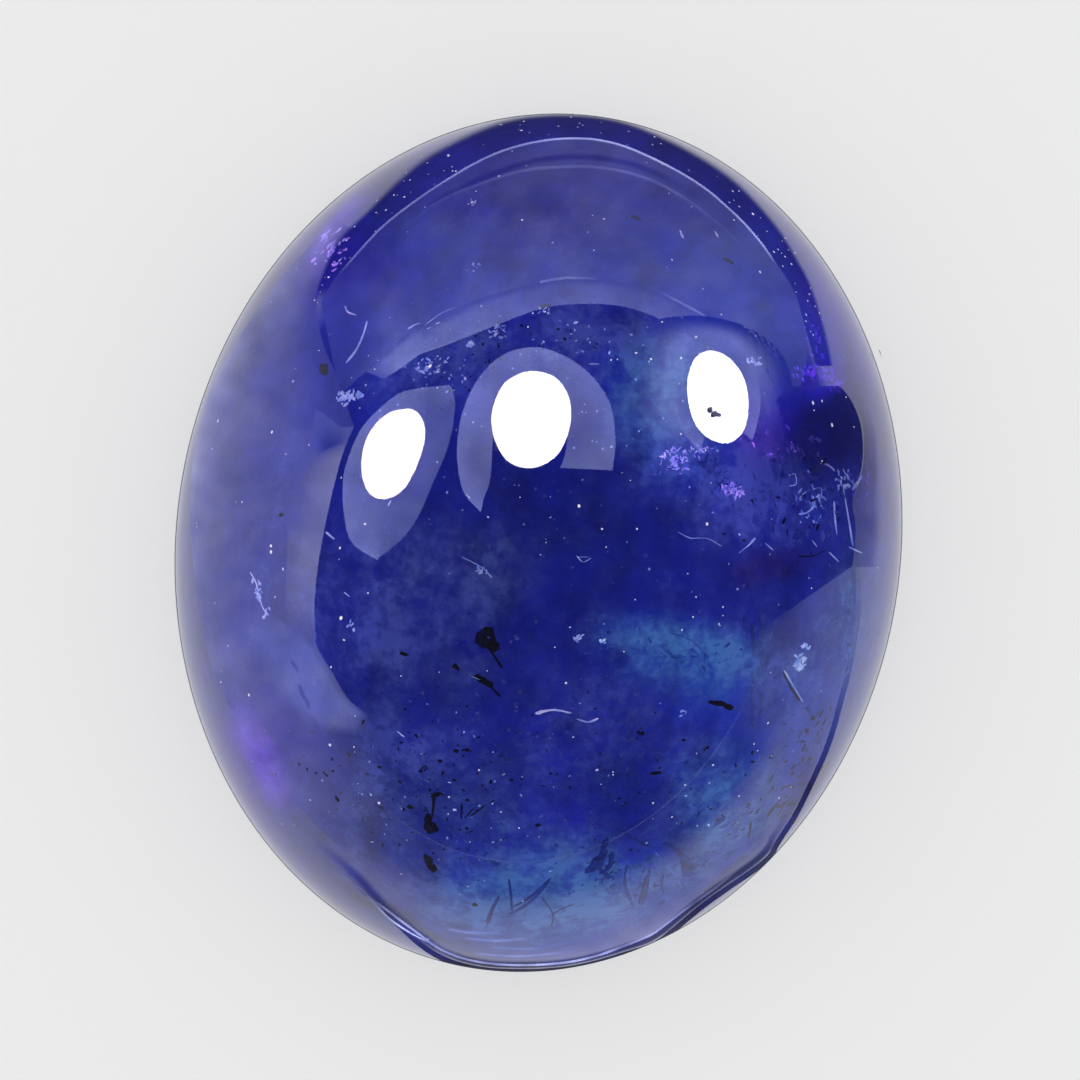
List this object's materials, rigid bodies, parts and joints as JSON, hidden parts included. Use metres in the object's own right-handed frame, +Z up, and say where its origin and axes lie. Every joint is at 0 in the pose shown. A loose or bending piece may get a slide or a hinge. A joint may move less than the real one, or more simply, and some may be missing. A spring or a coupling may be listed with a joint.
{
  "type": "tanzanite oval cabochon",
  "caption": "Polished oval gemstone cabochon with a high smooth dome, soft girdle and flat base, clear violet-blue crystal with dark and white inclusions.",
  "frame": {"origin": "middle of the flat base, on the surface the stone lies on", "axes": "+Z up through the crown of the dome, +Y along the length of the oval, +X across its width"},
  "size_m": [0.01, 0.012, 0.0064],
  "materials": {
    "tanzanite": "clear deep violet-blue crystal with a full polish"
  },
  "bodies": {
    "root": {"cabochon": "tanzanite"}
  },
  "joints": []
}
